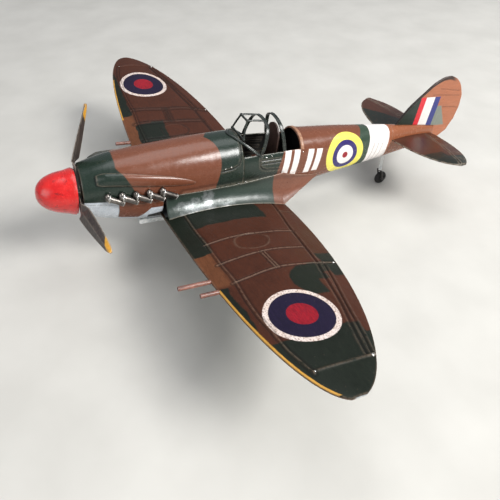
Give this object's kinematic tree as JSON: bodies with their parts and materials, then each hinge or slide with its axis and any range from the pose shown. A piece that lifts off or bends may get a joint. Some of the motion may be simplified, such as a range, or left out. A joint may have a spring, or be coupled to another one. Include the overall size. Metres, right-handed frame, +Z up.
{
  "type": "tinplate model aircraft",
  "caption": "Tinplate model of a single-seat low-wing propeller fighter with open cockpit frame, turning propeller and rolling wheels.",
  "frame": {"origin": "middle of the bounding box's footprint, on the surface that the wheels stand on", "axes": "+X to port (the pilot's left), +Y aft towards the tail, +Z up; the nose points to -Y"},
  "size_m": [0.3876, 0.3318, 0.1095],
  "materials": {
    "camouflage": "satin",
    "grey_paint": "satin",
    "red_paint": "gloss",
    "blade_paint": "satin",
    "frame_paint": "satin",
    "copper_paint": "satin",
    "bright_steel": "polished",
    "brass": "satin",
    "dark_interior": "matte",
    "black_rubber": "matte"
  },
  "bodies": {
    "airframe": {"shaft_bush": "brass", "nose_bulkhead": "dark_interior", "cowl_upper": "camouflage", "cowl_lower": "camouflage", "rocker_cover_port": "camouflage", "rocker_cover_starboard": "camouflage", "exhaust_stacks_port": "bright_steel", "exhaust_stacks_starboard": "bright_steel", "air_intake": "grey_paint", "cockpit_side_port": "camouflage", "cockpit_side_starboard": "camouflage", "belly_plate": "grey_paint", "rear_fuselage": "camouflage", "tail_cone": "camouflage", "cockpit_floor": "dark_interior", "instrument_panel": "dark_interior", "seat": "dark_interior", "rear_bulkhead": "dark_interior", "windscreen_base": "frame_paint", "windscreen_frame": "frame_paint", "canopy_hoop_front": "frame_paint", "canopy_hoop_rear": "frame_paint", "deck_edge_strip": "copper_paint", "wing_spar": "bright_steel", "wing_upper_port": "camouflage", "wing_upper_starboard": "camouflage", "wing_lower_port": "grey_paint", "wing_lower_starboard": "grey_paint", "wing_fairing_port": "camouflage", "wing_fairing_starboard": "camouflage", "gun_barrels_port": "copper_paint", "gun_barrels_starboard": "copper_paint", "tailplane_port": "camouflage", "tailplane_starboard": "camouflage", "fin": "camouflage", "gear_leg_port": "grey_paint", "gear_leg_starboard": "grey_paint", "axle_cap_port": "bright_steel", "axle_cap_starboard": "bright_steel", "tail_strut": "grey_paint", "tail_fork": "frame_paint"},
    "propeller": {"spinner": "red_paint", "spinner_backplate": "red_paint", "prop_hub": "bright_steel", "blade_one": "blade_paint", "blade_two": "blade_paint", "blade_three": "blade_paint", "prop_shaft": "bright_steel", "shaft_collar": "brass"},
    "wheel_port": {"wheel_port": "black_rubber"},
    "wheel_starboard": {"wheel_starboard": "black_rubber"},
    "tail_wheel": {"tail_wheel": "black_rubber"}
  },
  "joints": [
    {"name": "prop_spin", "type": "hinge", "parent": "airframe", "child": "propeller", "pos_m": [0, -0.14015, 0.06203], "axis": [0, 0.9828, -0.1848], "continuous": true},
    {"name": "wheel_port_spin", "type": "hinge", "parent": "airframe", "child": "wheel_port", "pos_m": [0.03, -0.06656, 0.009], "axis": [1, 0, 0], "continuous": true},
    {"name": "wheel_starboard_spin", "type": "hinge", "parent": "airframe", "child": "wheel_starboard", "pos_m": [-0.03, -0.06656, 0.009], "axis": [1, 0, 0], "continuous": true},
    {"name": "tail_wheel_spin", "type": "hinge", "parent": "airframe", "child": "tail_wheel", "pos_m": [0, 0.09895, 0.0055], "axis": [1, 0, 0], "continuous": true}
  ]
}
